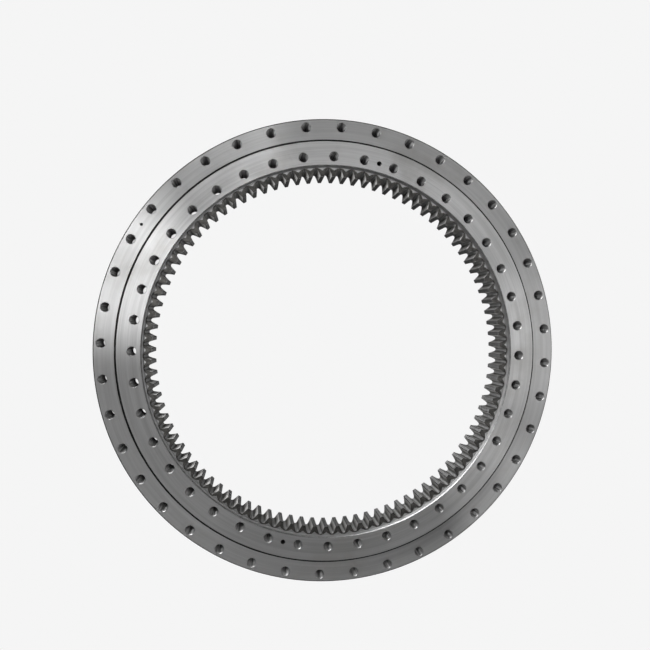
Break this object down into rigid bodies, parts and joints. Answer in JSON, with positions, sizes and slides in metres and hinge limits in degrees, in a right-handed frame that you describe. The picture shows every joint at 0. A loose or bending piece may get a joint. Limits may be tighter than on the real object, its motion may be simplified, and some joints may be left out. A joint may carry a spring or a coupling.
{
  "type": "slewing ring bearing",
  "caption": "Large four-point contact ball slewing ring: drilled outer ring around a drilled inner ring with internal gear teeth, for swinging machinery.",
  "frame": {"origin": "on the bearing axis, in the plane of the outer ring's lower face", "axes": "+Z along the bearing axis, towards the raised face of the inner ring; +X and +Y across the ring"},
  "size_m": [1.2418, 1.242, 0.092],
  "materials": {
    "ring_steel": "fine-turned bare steel, oiled",
    "gear_ring_steel": "fine-turned bare steel, teeth induction hardened and darkened",
    "ball_steel": "polished",
    "spacer_plastic": "natural nylon",
    "seal_rubber": "black nitrile rubber",
    "plug_steel": "turned",
    "pin_steel": "ground",
    "nipple_brass": "bare brass"
  },
  "bodies": {
    "outer_ring": {"outer_ring": "ring_steel", "upper_seal": "seal_rubber", "lower_seal": "seal_rubber", "filler_plug": "plug_steel", "plug_taper_pin": "pin_steel", "grease_nipple_1": "nipple_brass", "grease_nipple_2": "nipple_brass", "grease_nipple_3": "nipple_brass", "grease_nipple_4": "nipple_brass"},
    "inner_ring": {"inner_gear_ring": "gear_ring_steel"},
    "ball_train": {"ball_set_1": "ball_steel", "ball_set_2": "ball_steel", "ball_set_3": "ball_steel", "ball_set_4": "ball_steel", "ball_set_5": "ball_steel", "ball_set_6": "ball_steel", "ball_set_7": "ball_steel", "ball_set_8": "ball_steel", "ball_set_9": "ball_steel", "spacer_set_1": "spacer_plastic", "spacer_set_2": "spacer_plastic", "spacer_set_3": "spacer_plastic", "spacer_set_4": "spacer_plastic", "spacer_set_5": "spacer_plastic", "spacer_set_6": "spacer_plastic", "spacer_set_7": "spacer_plastic", "spacer_set_8": "spacer_plastic", "spacer_set_9": "spacer_plastic"}
  },
  "joints": [
    {"name": "slewing", "type": "hinge", "parent": "outer_ring", "child": "inner_ring", "pos_m": [0, 0, 0.043], "axis": [0, 0, 1], "continuous": true},
    {"name": "ball_orbit", "type": "hinge", "parent": "outer_ring", "child": "ball_train", "pos_m": [0, 0, 0.043], "axis": [0, 0, 1], "continuous": true}
  ],
  "couplings": [
    {"joint": "ball_orbit", "follows": "slewing", "ratio": 0.489}
  ]
}
